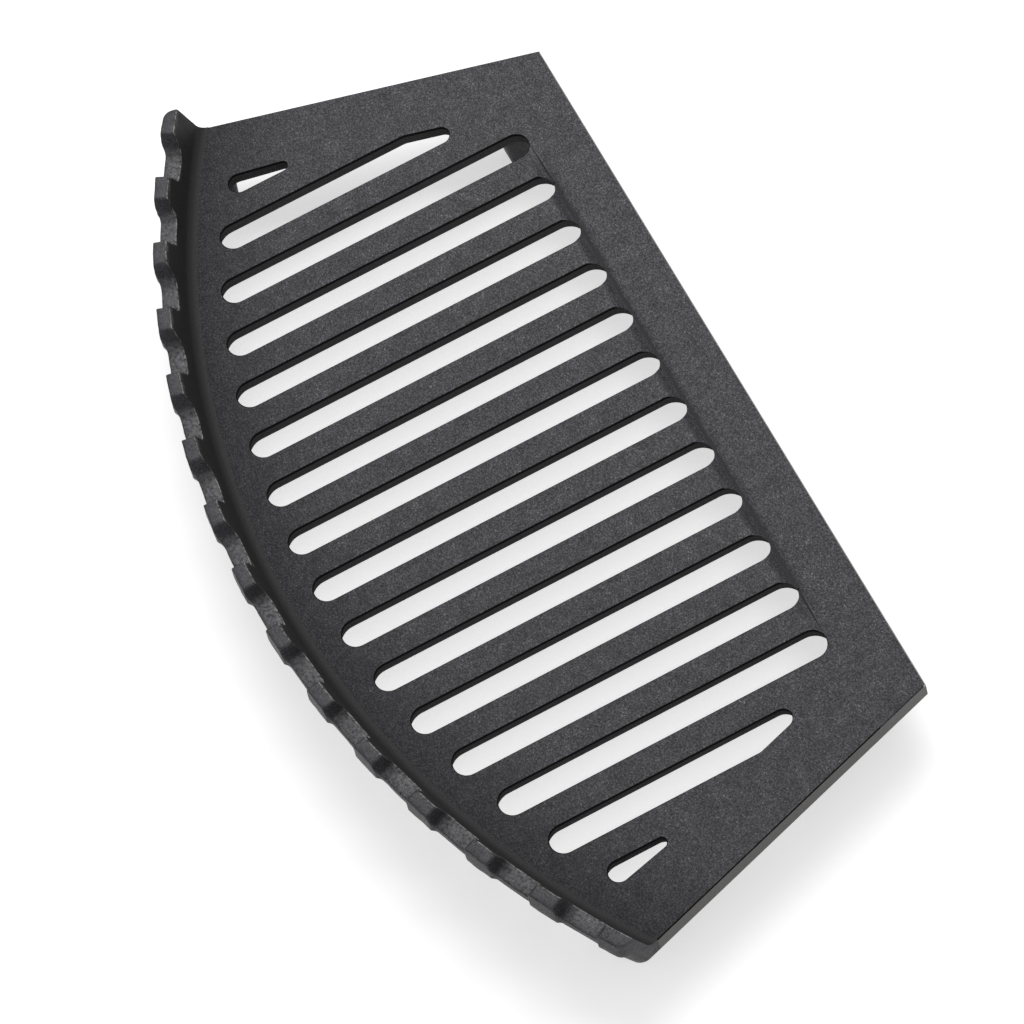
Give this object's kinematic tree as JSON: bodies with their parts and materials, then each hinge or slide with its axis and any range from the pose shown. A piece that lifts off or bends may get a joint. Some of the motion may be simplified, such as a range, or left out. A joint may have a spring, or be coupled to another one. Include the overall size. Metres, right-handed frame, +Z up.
{
  "type": "fireplace grate",
  "caption": "Cast-iron bottom grate for an open fire: slotted plate with a straight back, flared sides, a bowed front with a notched kerb, and short legs.",
  "frame": {"origin": "on the hearth, below the middle of the overall box of the grate", "axes": "+X across the fire, towards the right end seen from the front; -Y towards the bowed front with the kerb, +Y towards the straight back edge; +Z up"},
  "size_m": [0.4116, 0.204, 0.045],
  "materials": {
    "cast_iron": "matt black sand casting, bare"
  },
  "bodies": {
    "root": {"back_rail": "cast_iron", "left_side_plate": "cast_iron", "right_side_plate": "cast_iron", "front_rail": "cast_iron", "kerb": "cast_iron", "fire_bar_01": "cast_iron", "fire_bar_02": "cast_iron", "fire_bar_03": "cast_iron", "fire_bar_04": "cast_iron", "fire_bar_05": "cast_iron", "fire_bar_06": "cast_iron", "fire_bar_07": "cast_iron", "fire_bar_08": "cast_iron", "fire_bar_09": "cast_iron", "fire_bar_10": "cast_iron", "fire_bar_11": "cast_iron", "fire_bar_12": "cast_iron", "fire_bar_13": "cast_iron", "leg_front_left": "cast_iron", "leg_front_right": "cast_iron", "leg_back_left": "cast_iron", "leg_back_right": "cast_iron"}
  },
  "joints": []
}
